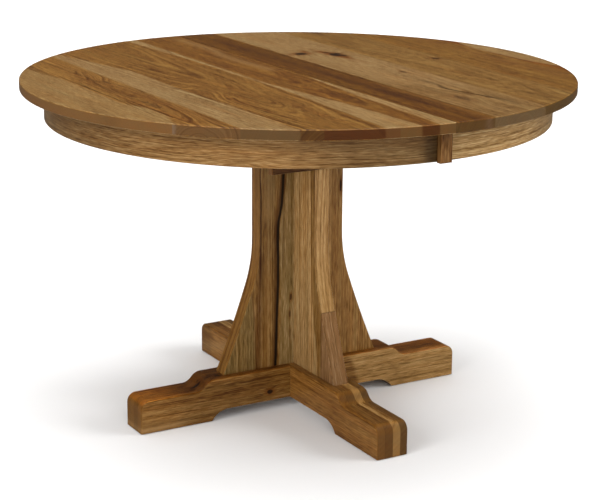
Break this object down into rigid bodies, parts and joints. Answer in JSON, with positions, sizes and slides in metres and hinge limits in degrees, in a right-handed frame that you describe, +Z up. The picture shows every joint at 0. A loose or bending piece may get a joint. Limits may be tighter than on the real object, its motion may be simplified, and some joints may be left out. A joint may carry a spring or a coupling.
{
  "type": "round pedestal extension dining table",
  "caption": "Round dining table in rustic hickory on a plus-shaped flared pedestal with ogee feet; the top splits across the middle and slides apart on geared wooden slides for leaves.",
  "frame": {"origin": "centre of the base on the floor, under the middle of the top", "axes": "+Z up; Y along the split in the top; the halves slide apart along -X and +X; the feet point along X and Y"},
  "size_m": [1.2192, 1.2192, 0.762],
  "materials": {
    "hickory_top": "satin clear finish over rustic hickory boards, light sapwood to brown heartwood",
    "hickory_apron": "satin clear finish",
    "hickory_feet": "satin clear finish, laminated",
    "hickory_pedestal": "satin clear finish",
    "hickory_cleat": "dark heartwood, satin",
    "plain_hardwood": "plain sanded, clear sealed",
    "slide_maple": "waxed maple",
    "pin_maple": "bare dowel",
    "gear_steel": "satin zinc plated steel",
    "screw_steel": "zinc plated steel",
    "latch_steel": "bright zinc plated steel",
    "glide_nylon": "brown nylon"
  },
  "bodies": {
    "base": {"foot_beam_x": "hickory_feet", "foot_beam_y": "hickory_feet", "foot_lag_screws": "screw_steel", "foot_lag_washers": "screw_steel", "floor_glides": "glide_nylon", "pedestal_panel": "hickory_pedestal", "pedestal_wing_front": "hickory_pedestal", "pedestal_wing_back": "hickory_pedestal", "mounting_cleat_front": "hickory_cleat", "mounting_cleat_back": "hickory_cleat", "cleat_screws": "screw_steel", "mounting_plate": "plain_hardwood", "plate_screws": "screw_steel", "center_rail_front": "slide_maple", "center_rail_back": "slide_maple", "pinion_axles": "screw_steel", "pinion_clips": "screw_steel", "slide_stop_pins": "screw_steel", "slide_bolts": "screw_steel", "slide_nuts": "screw_steel"},
    "top_left": {"top_left_board_1": "hickory_top", "top_left_board_2": "hickory_top", "top_left_board_3": "hickory_top", "top_left_board_4": "hickory_top", "top_left_board_5": "hickory_top", "seam_pins": "pin_maple", "apron_left": "hickory_apron", "glue_blocks_left": "plain_hardwood", "slide_rail_left_front": "slide_maple", "slide_rail_left_back": "slide_maple", "rail_screws_left": "screw_steel", "rack_left_front": "gear_steel", "rack_left_back": "gear_steel", "latch_keepers": "latch_steel", "keeper_screws": "screw_steel"},
    "top_right": {"top_right_board_1": "hickory_top", "top_right_board_2": "hickory_top", "top_right_board_3": "hickory_top", "top_right_board_4": "hickory_top", "top_right_board_5": "hickory_top", "apron_right": "hickory_apron", "glue_blocks_right": "plain_hardwood", "apron_joint_block_front": "hickory_apron", "apron_joint_block_back": "hickory_apron", "slide_rail_right_front": "slide_maple", "slide_rail_right_back": "slide_maple", "rail_screws_right": "screw_steel", "rack_right_front": "gear_steel", "rack_right_back": "gear_steel", "latch_bases": "latch_steel", "latch_screws": "screw_steel"},
    "pinion_front": {"pinion_front": "gear_steel"},
    "pinion_back": {"pinion_back": "gear_steel"},
    "latch_lever_front": {"latch_lever_front": "latch_steel"},
    "latch_lever_back": {"latch_lever_back": "latch_steel"}
  },
  "joints": [
    {"name": "top_left_slide", "type": "slide", "parent": "base", "child": "top_left", "axis": [-1, 0, 0], "range_m": [0, 0.305]},
    {"name": "top_right_slide", "type": "slide", "parent": "base", "child": "top_right", "axis": [1, 0, 0], "range_m": [0, 0.305]},
    {"name": "pinion_front_spin", "type": "hinge", "parent": "base", "child": "pinion_front", "pos_m": [0, -0.19, 0.724], "axis": [0, 0, 1], "range_deg": [-1100, 5]},
    {"name": "pinion_back_spin", "type": "hinge", "parent": "base", "child": "pinion_back", "pos_m": [0, 0.19, 0.724], "axis": [0, 0, 1], "range_deg": [-1100, 5]},
    {"name": "latch_front_turn", "type": "hinge", "parent": "top_right", "child": "latch_lever_front", "pos_m": [0.024, -0.345, 0.73], "axis": [0, 0, 1], "range_deg": [0, 90]},
    {"name": "latch_back_turn", "type": "hinge", "parent": "top_right", "child": "latch_lever_back", "pos_m": [0.024, 0.345, 0.73], "axis": [0, 0, 1], "range_deg": [0, 90]}
  ],
  "couplings": [
    {"joint": "top_right_slide", "follows": "top_left_slide", "ratio": 1},
    {"joint": "pinion_front_spin", "follows": "top_left_slide", "rad_per_m": -62.5},
    {"joint": "pinion_back_spin", "follows": "top_left_slide", "rad_per_m": -62.5}
  ]
}
